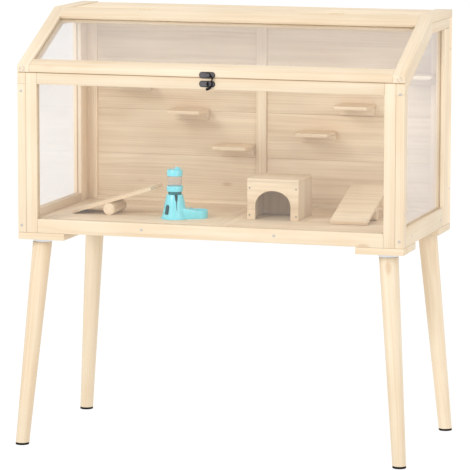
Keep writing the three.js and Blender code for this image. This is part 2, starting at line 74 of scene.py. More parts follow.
class CageSettings(bpy.types.PropertyGroup):
    """Sizes and colours of the cage's finish."""

    pine: bpy.props.FloatVectorProperty(
        name="Pine", description="Pale wood between the growth rings",
        default=(0.79, 0.685, 0.53), subtype="COLOR", min=0, max=1,
    )
    pine_ring: bpy.props.FloatVectorProperty(
        name="Pine rings", description="Darker wood of the growth rings",
        default=(0.68, 0.53, 0.36), subtype="COLOR", min=0, max=1,
    )
    # The inner boards are paler than the frame's pine partly as painted light: their colour is raised to
    # make up for the shade inside the cage
    board: bpy.props.FloatVectorProperty(
        name="Board", description="Pale wood of the inner boards",
        default=(0.95, 0.81, 0.605), subtype="COLOR", min=0, max=1,
    )
    board_ring: bpy.props.FloatVectorProperty(
        name="Board rings", description="Growth rings of the inner boards",
        default=(0.68, 0.525, 0.35), subtype="COLOR", min=0, max=1,
    )
    turquoise: bpy.props.FloatVectorProperty(
        name="Feeder", description="Plastic of the feeder",
        default=(0.20, 0.76, 0.87), subtype="COLOR", min=0, max=1,
    )
    ring_spacing: bpy.props.FloatProperty(
        name="Ring spacing", description="Distance between the wood's growth rings",
        default=5.5 * MM, min=1 * MM, unit="LENGTH",
    )
    easing: bpy.props.FloatProperty(
        name="Edge rounding", description="How far the edges of the wooden members are eased",
        default=1.0 * MM, min=0.1 * MM, unit="LENGTH",
    )
    board_easing: bpy.props.FloatProperty(
        name="Board edge rounding", description="How far the edges of the thin boards are eased",
        default=0.6 * MM, min=0.1 * MM, unit="LENGTH",
    )
    screw_radius: bpy.props.FloatProperty(
        name="Screw head radius", description="Radius of the screw heads in the cage's frame",
        default=3.6 * MM, min=1 * MM, unit="LENGTH",
    )
    pad_thickness: bpy.props.FloatProperty(
        name="Foot pad", description="Thickness of the pad under each leg",
        default=5.5 * MM, min=1 * MM, unit="LENGTH",
    )


def settings():
    return bpy.context.scene.hamster_cage


# Selecting and shaping


def deselect():
    if bpy.context.mode != "OBJECT":
        bpy.ops.object.mode_set(mode="OBJECT")
    bpy.ops.object.select_all(action="DESELECT")


def only(piece):
    deselect()
    piece.select_set(True)
    bpy.context.view_layer.objects.active = piece


def edit(piece):
    only(piece)
    bpy.ops.object.mode_set(mode="EDIT")
    bpy.ops.mesh.select_all(action="SELECT")


def settle(piece, name):
    """Gives a new primitive its name and moves its place into its mesh."""
    piece.name = name
    only(piece)
    bpy.ops.object.transform_apply(location=True, rotation=True, scale=True)
    return piece


def smooth(piece):
    only(piece)
    bpy.ops.object.shade_smooth_by_angle(angle=SHARP)
    return piece


def round_edges(piece, width, segments=2, sharpness=SHARP):
    """Eases a piece's sharp edges and smooths its shading."""
    edit(piece)
    bpy.ops.mesh.select_all(action="DESELECT")
    bpy.ops.mesh.select_mode(type="EDGE")
    bpy.ops.mesh.edges_select_sharp(sharpness=sharpness)
    bpy.ops.mesh.bevel(offset=width, segments=segments, affect="EDGES", clamp_overlap=True)
    bpy.ops.object.mode_set(mode="OBJECT")
    return smooth(piece)


def select_edges(piece, test):
    """Selects the edges of a piece in edit mode whose middle and direction pass a test."""
    bpy.ops.mesh.select_mode(type="EDGE")
    bpy.ops.mesh.select_all(action="DESELECT")
    bpy.ops.object.mode_set(mode="OBJECT")
    for edge in piece.data.edges:
        start, end = (piece.data.vertices[i].co for i in edge.vertices)
        edge.select = test((start + end) / 2, (end - start).normalized())
    bpy.ops.object.mode_set(mode="EDIT")


def copy_of(node, name, *cuts):
    """A piece in the shape of a CAD node. Each cut is a point and the direction of what is kept."""
    piece = bpy.data.objects.new(name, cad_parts[node].data.copy())
    bpy.context.scene.collection.objects.link(piece)
    edit(piece)
    bpy.ops.mesh.customdata_custom_splitnormals_clear()
    bpy.ops.mesh.remove_doubles(threshold=MERGE)
    for point, keep in cuts:
        bpy.ops.mesh.select_all(action="SELECT")
        bpy.ops.mesh.bisect(
            plane_co=point, plane_no=keep, use_fill=True, clear_inner=True, threshold=0.001 * MM
        )
    bpy.ops.mesh.select_all(action="SELECT")
    bpy.ops.mesh.remove_doubles(threshold=MERGE)
    bpy.ops.mesh.dissolve_limited(angle_limit=FLAT)
    bpy.ops.object.mode_set(mode="OBJECT")
    return piece


def block(name, low, high, width, segments=2):
    """A board from one corner to the other, with its edges eased."""
    low, high = Vector(low), Vector(high)
    deselect()
    bpy.ops.mesh.primitive_cube_add(size=1, location=(low + high) / 2, scale=high - low)
    return round_edges(settle(bpy.context.object, name), width, segments)


def turned(name, centre, profile, sides=48):
    """A round body about a vertical axis: its profile is radii and heights above the centre."""
    (radius, height), *rest = profile
    centre = Vector(centre)
    deselect()
    bpy.ops.mesh.primitive_circle_add(
        vertices=sides, radius=radius, fill_type="NGON", location=centre + Z * height
    )
    piece = settle(bpy.context.object, name)
    edit(piece)
    for next_radius, next_height in rest:
        bpy.ops.mesh.extrude_region_move(TRANSFORM_OT_translate={"value": Z * (next_height - height)})
        ratio = next_radius / radius
        bpy.ops.transform.resize(value=(ratio, ratio, 1), center_override=centre + Z * next_height)
        radius, height = next_radius, next_height
    bpy.ops.mesh.select_all(action="SELECT")
    bpy.ops.mesh.normals_make_consistent(inside=False)
    bpy.ops.object.mode_set(mode="OBJECT")
    return smooth(piece)


def combine(piece, tool, operation="DIFFERENCE"):
    """Cuts a tool out of a piece, or joins it on; the tool stays."""
    only(piece)
    change = piece.modifiers.new(operation, "BOOLEAN")
    change.operation = operation
    change.object = tool
    change.solver = "EXACT"
    bpy.ops.object.modifier_apply(modifier=change.name)
    return piece


def discard(*tools):
    for tool in tools:
        bpy.data.objects.remove(tool)


def move_where(piece, test, offset):
    """Moves the vertices of a piece whose places pass a test."""
    edit(piece)
    bpy.ops.mesh.select_mode(type="VERT")
    bpy.ops.mesh.select_all(action="DESELECT")
    bpy.ops.object.mode_set(mode="OBJECT")
    for vertex in piece.data.vertices:
        vertex.select = test(vertex.co)
    bpy.ops.object.mode_set(mode="EDIT")
    bpy.ops.transform.translate(value=offset)
    bpy.ops.object.mode_set(mode="OBJECT")


def wire(name, radius, places):
    """A round wire bent smoothly through its places."""
    deselect()
    bpy.ops.curve.primitive_nurbs_path_add()
    piece = bpy.context.object
    spline = piece.data.splines[0]
    spline.points.add(len(places) - len(spline.points))
    for point, place in zip(spline.points, places):
        point.co = (*place, 1)
    spline.order_u = 3
    spline.use_endpoint_u = True
    piece.data.resolution_u = 6
    piece.data.bevel_depth = radius
    piece.data.bevel_resolution = 3
    piece.data.use_fill_caps = True
    bpy.ops.object.convert(target="MESH")
    settle(piece, name)
    edit(piece)
    bpy.ops.mesh.remove_doubles(threshold=0.001 * MM)
    bpy.ops.mesh.normals_make_consistent(inside=False)
    bpy.ops.object.mode_set(mode="OBJECT")
    return smooth(piece)


def compass(angle):
    """The level direction at an angle from +X, in degrees."""
    return Vector((math.cos(math.radians(angle)), math.sin(math.radians(angle)), 0))


def centre_of(piece):
    corners = [Vector(corner) for corner in piece.bound_box]
    return sum(corners, Vector()) / len(corners)


def fit(piece, body, slot, material, *nodes):
    """Puts a finished piece on its CAD body with its material, in place of the CAD nodes it shows."""
    piece.data.materials.clear()
    piece.data.materials.append(material)
    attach(piece, body)
    if nodes:
        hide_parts(*nodes)
    return piece


# Materials


def node(tree, kind, inputs=None, **options):
    """Adds a shader node; an input is set to a value or linked to another node's output."""
    made = tree.nodes.new("ShaderNode" + kind)
    for key, value in options.items():
        setattr(made, key, value)
    for key, value in (inputs or {}).items():
        if isinstance(value, bpy.types.NodeSocket):
            tree.links.new(value, made.inputs[key])
        else:
            made.inputs[key].default_value = value
    return made


def maths(tree, operation, *values):
    return node(tree, "Math", dict(enumerate(values)), operation=operation).outputs[0]


def stretched_noise(tree, vector, scale, detail=2.0):
    """Noise drawn out along x by its own scale on each axis."""
    drawn = node(tree, "VectorMath", {0: vector, 1: scale}, operation="MULTIPLY").outputs[0]
    made = node(tree, "TexNoise", {"Vector": drawn, "Scale": 1.0, "Detail": detail})
    return made.outputs["Fac"]


def spread(tree, value, low, high, bottom=0.0, top=1.0):
    inputs = {"Value": value, "From Min": low, "From Max": high, "To Min": bottom, "To Max": top}
    return node(tree, "MapRange", inputs, interpolation_type="SMOOTHSTEP").outputs["Result"]


def blend(tree, share, a, b, mode="MIX"):
    made = node(tree, "Mix", {0: share}, data_type="RGBA", blend_type=mode)
    for socket, value in ((made.inputs[6], a), (made.inputs[7], b)):
        if isinstance(value, bpy.types.NodeSocket):
            tree.links.new(value, socket)
        else:
            socket.default_value = value
    return made.outputs[2]


def shader_group(name, inputs, outputs):
    tree = bpy.data.node_groups.new(name, "ShaderNodeTree")
    for label, kind in inputs:
        tree.interface.new_socket(label, in_out="INPUT", socket_type="NodeSocket" + kind)
    for label, kind in outputs:
        tree.interface.new_socket(label, in_out="OUTPUT", socket_type="NodeSocket" + kind)
    return tree, tree.nodes.new("NodeGroupInput").outputs, tree.nodes.new("NodeGroupOutput").inputs


def wood_grain_group():
    """Sawn softwood: growth rings round a pith along x, with streaks, fibres, warm patches and knots."""
    if "Wood grain" in bpy.data.node_groups:
        return bpy.data.node_groups["Wood grain"]
    tree, given, out = shader_group(
        "Wood grain",
        (
            ("Vector", "Vector"),
            ("Pale", "Color"),
            ("Ring", "Color"),
            ("Ring spacing", "Float"),
            ("Figure", "Float"),
            ("Knots", "Float"),
        ),
        (("Color", "Color"), ("Roughness", "Float"), ("Height", "Float")),
    )
    vector = given["Vector"]
    sway = maths(tree, "MULTIPLY", stretched_noise(tree, vector, (3.0, 14.0, 14.0)), 18 * MM)
    across = node(tree, "VectorMath", {0: vector, 1: (0, 1, 1)}, operation="MULTIPLY").outputs[0]
    radius = node(tree, "VectorMath", {0: across}, operation="LENGTH").outputs["Value"]
    grown = maths(tree, "ADD", radius, sway)
    turns = maths(tree, "DIVIDE", grown, given["Ring spacing"])
    wave = maths(tree, "SINE", maths(tree, "MULTIPLY", turns, 2 * math.pi))
    ring = spread(tree, wave, -0.3, 1.0)
    years = node(tree, "CombineXYZ", {0: turns}).outputs[0]
    strength = stretched_noise(tree, years, (0.45, 0.45, 0.45), 1.0)
    ring = maths(tree, "MULTIPLY", ring, spread(tree, strength, 0.3, 0.7, 0.15, 1.0))
    streak = spread(tree, stretched_noise(tree, vector, (2.2, 95.0, 95.0), 3.0), 0.3, 0.75)
    fibre = stretched_noise(tree, vector, (30.0, 900.0, 900.0))
    patch = spread(tree, stretched_noise(tree, vector, (2.6, 11.0, 11.0)), 0.45, 0.8)
    cells = node(tree, "VectorMath", {0: vector, 1: (4.2, 9.5, 9.5)}, operation="MULTIPLY")
    spots = node(tree, "TexVoronoi", {"Vector": cells.outputs[0], "Scale": 1.0})
    knot = spread(tree, spots.outputs["Distance"], 0.035, 0.10, 1.0, 0.0)
    knot = maths(tree, "MULTIPLY", knot, given["Knots"])
    band = spread(tree, stretched_noise(tree, vector, (1.6, 20.0, 20.0)), 0.35, 0.75)
    cloud = spread(tree, stretched_noise(tree, vector, (4.5, 9.0, 9.0)), 0.35, 0.7)
    dark = maths(tree, "MULTIPLY", fibre, 0.14)
    for shade, share in ((ring, 0.28), (streak, 0.38), (band, 0.28), (cloud, 0.3)):
        dark = maths(tree, "MULTIPLY_ADD", shade, share, dark)
    dark = maths(tree, "MULTIPLY", dark, given["Figure"])
    colour = blend(tree, dark, given["Pale"], given["Ring"])
    colour = blend(tree, maths(tree, "MULTIPLY", patch, 0.6), colour, (0.93, 0.86, 0.76, 1), "MULTIPLY")
    colour = blend(tree, knot, colour, (0.62, 0.42, 0.26, 1), "MULTIPLY")
    tree.links.new(colour, out["Color"])
    tree.links.new(spread(tree, dark, 0.0, 1.0, 0.62, 0.48), out["Roughness"])
    height = maths(tree, "ADD", maths(tree, "MULTIPLY", ring, 0.5), fibre)
    tree.links.new(height, out["Height"])
    return tree


def new_material(name):
    material = bpy.data.materials.new(name)
    material.use_nodes = True
    tree = material.node_tree
    return material, tree, tree.nodes["Principled BSDF"]


def bump(tree, shader, height, strength, distance):
    inputs = {"Height": height, "Strength": strength, "Distance": distance}
    tree.links.new(node(tree, "Bump", inputs).outputs[0], shader.inputs["Normal"])


wood_count = 0


def wood(piece, grain, kind="pine", figure=1.0, knots=0.35, pith=None, tone=1.0):
    """Wood for one piece, with its grain along a direction and its own place in the tree. Its tone
    scales both colours: at some pieces a tone that differs at random, at others painted light that
    lightens a shaded place.
    """
    global wood_count
    wood_count += 1
    choice = settings()
    pale, ring = (choice.pine, choice.pine_ring) if kind == "pine" else (choice.board, choice.board_ring)
    material, tree, shader = new_material(piece.name + "_wood")
    turn = grain.normalized().rotation_difference(X)
    angle = wood_count * 2.4
    reach = 55 * MM + 50 * MM * math.sin(wood_count * 1.7) ** 2
    if pith is None:
        pith = Vector((wood_count * 1.37, reach * math.cos(angle), reach * math.sin(angle)))
    shift = pith - turn @ centre_of(piece)
    place = {"Location": shift, "Rotation": turn.to_euler()}
    place["Vector"] = node(tree, "TexCoord").outputs["Object"]
    mapped = node(tree, "Mapping", place).outputs[0]
    grown = node(tree, "Group", node_tree=wood_grain_group())
    tree.links.new(mapped, grown.inputs["Vector"])
    grown.inputs["Pale"].default_value = (*(tone * part for part in pale), 1)
    grown.inputs["Ring"].default_value = (*(tone * part for part in ring), 1)
    grown.inputs["Ring spacing"].default_value = choice.ring_spacing
    grown.inputs["Figure"].default_value = figure
    grown.inputs["Knots"].default_value = knots
    tree.links.new(grown.outputs["Color"], shader.inputs["Base Color"])
    tree.links.new(grown.outputs["Roughness"], shader.inputs["Roughness"])
    shader.inputs["Specular IOR Level"].default_value = 0.3
    bump(tree, shader, grown.outputs["Height"], 0.25, 0.2 * MM)
    return material


def once(name):
    """Keeps one material for each function that makes a named finish."""

    def keep(make):
        def given():
            return bpy.data.materials.get(name) or make(*new_material(name))

        return given

    return keep


def clear_rim(tree, index):
    """How much a thin clear wall reflects, the same from either side."""
    behind = node(tree, "NewGeometry").outputs["Backfacing"]
    facing = maths(tree, "MULTIPLY_ADD", behind, 1 / index - index, index)
    return node(tree, "Fresnel", {"IOR": facing}).outputs[0]


def clear_sheet(material, tree, shader, haze, tint):
    """Clear sheet: it shows what is behind it and mirrors the room at a low angle."""
    rim = clear_rim(tree, 1.49)
    tree.links.new(maths(tree, "MULTIPLY_ADD", rim, 1.05, haze), shader.inputs["Alpha"])
    coordinates = node(tree, "TexCoord").outputs["Object"]
    wipes = stretched_noise(tree, coordinates, (9.0, 9.0, 9.0))
    tree.links.new(spread(tree, wipes, 0.2, 0.8, 0.02, 0.05), shader.inputs["Roughness"])
    shader.inputs["Base Color"].default_value = (*tint, 1)
    shader.inputs["Metallic"].default_value = 1.0
    return material


@once("Clear acrylic")
def acrylic(material, tree, shader):
    return clear_sheet(material, tree, shader, 0.012, (0.93, 0.93, 0.95))


@once("Hazy acrylic")
def lid_acrylic(material, tree, shader):
    return clear_sheet(material, tree, shader, 0.085, (1.0, 1.0, 1.0))


def clouded(tree, shader, scale, first, second, smooth_end, rough_end):
    """A colour and a gloss that drift between two values. Gives the coordinates it uses."""
    coordinates = node(tree, "TexCoord").outputs["Object"]
    cloud = stretched_noise(tree, coordinates, (scale, scale, scale))
    tree.links.new(blend(tree, cloud, (*first, 1), (*second, 1)), shader.inputs["Base Color"])
    tree.links.new(spread(tree, cloud, 0.2, 0.8, smooth_end, rough_end), shader.inputs["Roughness"])
    return coordinates


def plastic(material, tree, shader, colour, roughness, grain=0.04):
    """Moulded plastic: a fine texture and a slight unevenness of gloss and colour."""
    dim = tuple(0.93 * part for part in colour)
    coordinates = clouded(tree, shader, 40.0, colour, dim, roughness - 0.05, roughness + 0.05)
    fine = stretched_noise(tree, coordinates, (2500.0, 2500.0, 2500.0), 1.0)
    bump(tree, shader, fine, grain, 0.1 * MM)
    return material


@once("Turquoise plastic")
def turquoise(material, tree, shader):
    shader.inputs["Coat Weight"].default_value = 0.3
    return plastic(material, tree, shader, tuple(settings().turquoise), 0.28)


# Painted shade: a dark teal given to the bottle's neck in place of its clear plastic, to stand for the
# shade inside the feeder's cone
@once("Painted shade teal plastic")
def painted_shade_plastic(material, tree, shader):
    shader.inputs["Specular IOR Level"].default_value = 0.2
    return plastic(material, tree, shader, (0.004, 0.17, 0.185), 0.6)


@once("White plastic")
def white_plastic(material, tree, shader):
    return plastic(material, tree, shader, (0.80, 0.82, 0.86), 0.4)


@once("Black rubber")
def rubber(material, tree, shader):
    shader.inputs["Specular IOR Level"].default_value = 0.15
    return plastic(material, tree, shader, (0.006, 0.006, 0.006), 0.75, 0.3)


@once("Bottle plastic")
def bottle_plastic(material, tree, shader):
    """Thin clear plastic, slightly grey."""
    rim = clear_rim(tree, 1.5)
    tree.links.new(maths(tree, "MULTIPLY_ADD", rim, 0.9, 0.10), shader.inputs["Alpha"])
    shader.inputs["Base Color"].default_value = (0.62, 0.60, 0.60, 1)
    shader.inputs["Roughness"].default_value = 0.08
    return material


@once("Black latch metal")
def latch_metal(material, tree, shader):
    coordinates = clouded(tree, shader, 120.0, (0.006, 0.005, 0.005), (0.018, 0.015, 0.014), 0.4, 0.55)
    shader.inputs["Specular IOR Level"].default_value = 0.08
    bump(tree, shader, stretched_noise(tree, coordinates, (1800.0, 1800.0, 1800.0)), 0.15, 0.1 * MM)
    return material


@once("Grey latch face")
def latch_face(material, tree, shader):
    clouded(tree, shader, 140.0, (0.075, 0.07, 0.075), (0.13, 0.125, 0.135), 0.4, 0.55)
    shader.inputs["Specular IOR Level"].default_value = 0.2
    return material


@once("Zinc")
def zinc(material, tree, shader):
    clouded(tree, shader, 300.0, (0.42, 0.42, 0.43), (0.55, 0.55, 0.55), 0.25, 0.45)
    shader.inputs["Metallic"].default_value = 0.85
    return material


@once("Brass")
def brass(material, tree, shader):
    """Pale plated brass, dulled in clouds."""
    clouded(tree, shader, 200.0, (0.80, 0.69, 0.50), (0.70, 0.58, 0.40), 0.3, 0.5)
    shader.inputs["Metallic"].default_value = 0.2
    return material


# Groups of like pieces


def member(node_name, body, grain, *cuts, name=None, kind="pine", width=None, **options):
    """One wooden member: a CAD node's shape, or a cut of it, with eased edges and its own wood."""
    piece = copy_of(node_name, name or node_name + "_wood", *cuts)
    round_edges(piece, width or settings().easing)
    return fit(piece, body, kind, wood(piece, grain, kind, **options), node_name)


def keep_node(node_name, material):
    """A CAD node whose own shape is right gets its finish."""
    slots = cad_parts[node_name].data.materials
    slots.clear()
    slots.append(material)


class CageOperator:
    """What every operator of the cage shares."""

    bl_options = {"REGISTER", "UNDO"}

    def execute(self, context):
        self.make()
        return {"FINISHED"}


class CAGE_OT_front_wall(CageOperator, bpy.types.Operator):
    """Make the front wall's stiles and rails and finish its pane"""

    bl_idname = "cage.front_wall"
    bl_label = "Front Wall"

    def make(self):
        for side, _ in SIDES:
            member("front_stile_" + side, "cage", Z, knots=0.2)
        member("front_top_rail", "cage", X, tone=0.95)
        member("front_bottom_rail", "cage", X)
        keep_node("front_pane", acrylic())


class CAGE_OT_side_walls(CageOperator, bpy.types.Operator):
    """Make the members of the left and right walls and finish their panes"""

    bl_idname = "cage.side_walls"
    bl_label = "Side Walls"

    def make(self):
        slope = slope_direction()
        mitre = (Y + slope).normalized()
        behind_ridge, half_rail = 3 * MM, 13 * MM
        for side, _ in SIDES:
            rail = side + "_side_upper_rail"
            bend_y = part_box("ridge_rail")[0].y + behind_ridge
            bend = Vector((0, bend_y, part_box(rail)[1].z - half_rail))
            member(side + "_side_front_stile", "cage", Z)
            # The rear stiles are painted lighter, the left more than the right, as painted light against
            # the shade in the cage's back corners
            member(side + "_side_rear_stile", "cage", Z, tone=1.2 if side == "left" else 1.1)
            member(side + "_side_bottom_rail", "cage", Y)
            member(rail, "cage", slope, (bend, -mitre), name=side + "_side_slope_rail")
            member(rail, "cage", Y, (bend, mitre), name=side + "_side_level_rail")
            keep_node(side + "_side_pane", acrylic())


def slope_direction():
    """Up along the lid, from the top of its front lip to the ridge."""
    low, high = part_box("lid_stile_left")
    return Vector((0, high.y - low.y, high.z - low.z - LID_LIP)).normalized()


class CAGE_OT_back_wall(CageOperator, bpy.types.Operator):
    """Make the back wall's frames, boards and batten"""

    bl_idname = "cage.back_wall"
    bl_label = "Back Wall"

    def make(self):
        thickness = 28 * MM
        recess, board_back = 6 * MM, 20 * MM
        stile, bottom_rail, top_rail = 48 * MM, 37 * MM, 26 * MM
        gap = 0.15 * MM
        seams = [CAGE_UNDER + z * MM for z in (152, 270, 388)]
        for side, sign in SIDES:
            panel = "back_panel_" + side
            low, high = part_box(panel)
            left, right = (low.x + stile, high.x) if sign < 0 else (low.x, high.x - stile)
            sill, head = low.z + bottom_rail, high.z - top_rail
            outer = (low.x, left) if sign < 0 else (right, high.x)
            frame_front = high.y - thickness
            stile_low, stile_high = (outer[0], frame_front, low.z), (outer[1], high.y, high.z)
            # The back wall's stiles are painted lighter, as painted light against the shade in the back
            # corners
            self.plank(panel, "stile", Z, stile_low, stile_high, tone=1.1)
            self.plank(panel, "bottom_rail", X, (left, frame_front, low.z), (right, high.y, sill))
            self.plank(panel, "top_rail", X, (left, frame_front, head), (right, high.y, high.z))
            heights = [sill, *seams, head]
            front, back = frame_front + recess, frame_front + board_back
            for number, (under, over) in enumerate(zip(heights, heights[1:]), 1):
                self.plank(
                    panel,
                    f"board_{number}",
                    X,
                    (left, front, under + gap),
                    (right, back, over - gap),
                    figure=0.95,
                    knots=0.6,
                )
        member("back_batten", "cage", Z, kind="board")

    def plank(self, panel, part, grain, low, high, **options):
        piece = block(f"{panel}_{part}", low, high, settings().easing)
        fit(piece, "cage", "board", wood(piece, grain, "board", **options), panel)


class CAGE_OT_floor(CageOperator, bpy.types.Operator):
    """Make the floor panels with their edge strips, and the joists"""

    bl_idname = "cage.floor"
    bl_label = "Cage Floor"

    def make(self):
        strip = 26 * MM
        for side, _ in SIDES:
            panel = "floor_panel_" + side
            low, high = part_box(panel)
            left = Vector((low.x + strip, 0, 0))
            right = Vector((high.x - strip, 0, 0))
            options = {"kind": "board", "width": settings().board_easing}
            member(panel, "cage", Y, (left, -X), name=f"floor_{side}_left_strip", **options)
            member(panel, "cage", Y, (right, X), name=f"floor_{side}_right_strip", **options)
            member(panel, "cage", X, (left, X), (right, -X), name=f"floor_{side}_panel", **options)
            member("floor_joist_" + side, "cage", Y)


class CAGE_OT_flat_top(CageOperator, bpy.types.Operator):
    """Make the flat top's board and end caps, and the rail under its front edge"""

    bl_idname = "cage.flat_top"
    bl_label = "Flat Top"

    def make(self):
        cap = 43 * MM
        joint = X * 0.05 * MM
        low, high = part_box("top_panel")
        left, right = low.x + cap, high.x - cap
        for side, start, end in (("left", low.x, left), ("right", right, high.x)):
            piece = block(f"top_{side}_cap", (start, *low.yz), (end, *high.yz), settings().easing)
            fit(piece, "cage", "pine", wood(piece, Y), "top_panel")
        ends = (X * left + joint, X), (X * right - joint, -X)
        member("top_panel", "cage", X, *ends, name="top_board", kind="board")
        member("ridge_rail", "cage", X)


class CAGE_OT_lid(CageOperator, bpy.types.Operator):
    """Make the lid's members and finish its pane"""

    bl_idname = "cage.lid"
    bl_label = "Lid"

    def make(self):
        # The lid's underside stands clear of the wall that it closes on
        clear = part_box("lid_bottom_rail")[0] + Z * 2.4 * MM
        for side, _ in SIDES:
            member("lid_stile_" + side, "lid", slope_direction(), (clear, Z), knots=0.1)
        member("lid_bottom_rail", "lid", X, (clear, Z), knots=0.1)
        member("lid_top_rail", "lid", X, knots=0.1)
        keep_node("lid_pane", lid_acrylic())


class CAGE_OT_hinges(CageOperator, bpy.types.Operator):
    """Ease and finish the lid's two butt hinges"""

    bl_idname = "cage.hinges"
    bl_label = "Hinges"

    def make(self):
        for side, _ in SIDES:
            for leaf, body in (("lid_leaf", "lid"), ("top_leaf", "cage")):
                name = f"hinge_{side}_{leaf}"
                piece = round_edges(copy_of(name, name + "_zinc"), 0.15 * MM)
                fit(piece, body, "zinc", brass(), name)


class CAGE_OT_latch(CageOperator, bpy.types.Operator):
    """Ease and finish the latch's plates and hook"""

    bl_idname = "cage.latch"
    bl_label = "Latch"

    def make(self):
        centre = {}
        for part, body in (("upper", "lid"), ("lower", "cage")):
            name = f"latch_{part}_plate"
            low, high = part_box(name)
            centre[part] = Vector(((low.x + high.x) / 2, high.y, (low.z + high.z) / 2))
            radius = (high.z - low.z) / 2
            piece = self.plate(name, low.x, high.x, centre[part], radius)
            fit(piece, body, "latch", latch_metal(), name)
            face = self.plate(name + "_face", low.x, high.x, centre[part], radius, margin=1.5 * MM)
            fit(face, body, "latch", latch_face(), name)
        pivot = centre["upper"] + Vector((4, 0, 0.7)) * MM
        rivet = self.boss("latch_rivet", pivot, radius=4.2, start=2.2, end=9.1)
        fit(rivet, "lid", "latch", latch_face(), "latch_upper_plate")
        stud = centre["lower"] + Vector((2, 0, 0.6)) * MM
        boss = self.boss("latch_stud", stud, radius=3.2, start=2.0, end=4.5)
        fit(boss, "cage", "latch", latch_metal(), "latch_lower_plate")
        low, high = stud + Vector((-1.8, -4.4, -6.5)) * MM, stud + Vector((1.8, -2.0, 6.5)) * MM
        keeper = block("latch_keeper", low, high, MM)
        fit(keeper, "cage", "latch", latch_metal(), "latch_lower_plate")
        hook_y = (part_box("latch_hook")[0].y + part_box("latch_hook")[1].y) / 2
        # Right and up from the pivot, in millimetres
        bends = ((-2.5, 4.6), (1.7, 5.2), (5.5, 0), (10.2, -7), (10.6, -11), (8.3, -15), (9.4, -19.5))
        bends += ((10.4, -23), (8.6, -28), (4.5, -31.5), (0.5, -34.8), (-1.6, -36.8))
        places = [Vector((pivot.x + x * MM, hook_y, pivot.z + z * MM)) for x, z in bends]
        hook = wire("latch_hook_wire", 1.8 * MM, places)
        fit(hook, "hook", "latch", latch_metal(), "latch_hook")
        level = Vector((pivot.x, hook_y + 1.2 * MM, pivot.z))
        fit(self.ring("latch_hook_eye", level), "hook", "latch", latch_metal(), "latch_hook")
        tail = (6.5, -30), (3.5, -32), (0.5, -34.2), (-2.5, -35.5), (-5, -35)
        places = [Vector((pivot.x + x * MM, hook_y, pivot.z + z * MM)) for x, z in tail]
        thumb = wire("latch_thumb", 3.4 * MM, places)
        fit(thumb, "hook", "latch", latch_metal(), "latch_hook")

    def plate(self, name, left, right, centre, radius, margin=0):
        """A long plate with round ends and eased edges; a margin makes the raised face on it."""
        front, back, easing = (2.25, 1.9, 0.15) if margin else (2.0, 0.0, 0.7)
        deselect()
        bpy.ops.mesh.primitive_cylinder_add(
            vertices=40,
            radius=radius - margin,
            depth=(front - back) * MM,
            rotation=(math.pi / 2, 0, 0),
            location=centre - Y * (front + back) / 2 * MM,
        )
        piece = settle(bpy.context.object, name + "_piece")
        reach = (right - left) / 2 - radius
        move_where(piece, lambda at: at.x > centre.x + 0.01 * MM, X * reach)
        move_where(piece, lambda at: at.x < centre.x - 0.01 * MM, X * -reach)
        edit(piece)
        bpy.ops.mesh.dissolve_limited(angle_limit=FLAT)
        bpy.ops.object.mode_set(mode="OBJECT")
        return round_edges(piece, easing * MM, 3)

    def boss(self, name, centre, radius, start, end):
        """A round boss standing out from the latch's back face. Its sizes are in millimetres."""
        deselect()
        bpy.ops.mesh.primitive_cylinder_add(
            vertices=28,
            radius=radius * MM,
            depth=(end - start) * MM,
            rotation=(math.pi / 2, 0, 0),
            location=Vector(centre) - Y * (start + end) / 2 * MM,
        )
        return round_edges(settle(bpy.context.object, name), min(0.7, (end - start) / 3) * MM, 3)

    def ring(self, name, centre):
        eye = self.boss(name, centre, radius=5.4, start=0, end=2.4)
        bore = self.boss("bore", centre, radius=4.35, start=-2, end=5)
        combine(eye, bore)
        discard(bore)
        return smooth(eye)


class CAGE_OT_legs(CageOperator, bpy.types.Operator):
    """Make each leg with its pad, collar and plate"""

    bl_idname = "cage.legs"
    bl_label = "Legs"

    def make(self):
        pad = settings().pad_thickness
        foot_r, top_r = 17 * MM, 24.5 * MM
        plate_thickness = 17.4 * MM
        for corner in CORNERS:
            leg, plate = "leg_" + corner, "leg_plate_" + corner
            low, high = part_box(leg)
            out_x = 1 if "right" in corner else -1
            out_y = 1 if "back" in corner else -1
            foot = Vector((high.x if out_x > 0 else low.x, high.y if out_y > 0 else low.y, low.z))
            top = Vector((low.x if out_x > 0 else high.x, low.y if out_y > 0 else high.y, high.z))
            foot -= Vector((out_x * foot_r, out_y * foot_r, 0))
            top += Vector((out_x * top_r, out_y * top_r, 0))
            sole = Vector((0, 0, low.z + pad))
            tone = 1.07 if corner == "back_right" else 1.0
            member(leg, "cage", top - foot, (sole, Z), name=leg + "_shaft", width=0.8 * MM, tone=tone)
            piece = round_edges(copy_of(leg, leg + "_pad", (sole, -Z)), 0.7 * MM, 2)
            fit(piece, "cage", "pine", rubber(), leg)
            plate_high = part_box(plate)[1]
            under = Vector((0, 0, plate_high.z - plate_thickness))
            member(plate, "cage", X, (under, Z), name=plate + "_board")
            joint = under - Z * 0.1 * MM
            piece = round_edges(copy_of(plate, plate + "_collar", (joint, -Z)), 0.8 * MM, 2)
            fit(piece, "cage", "pine", white_plastic(), plate)


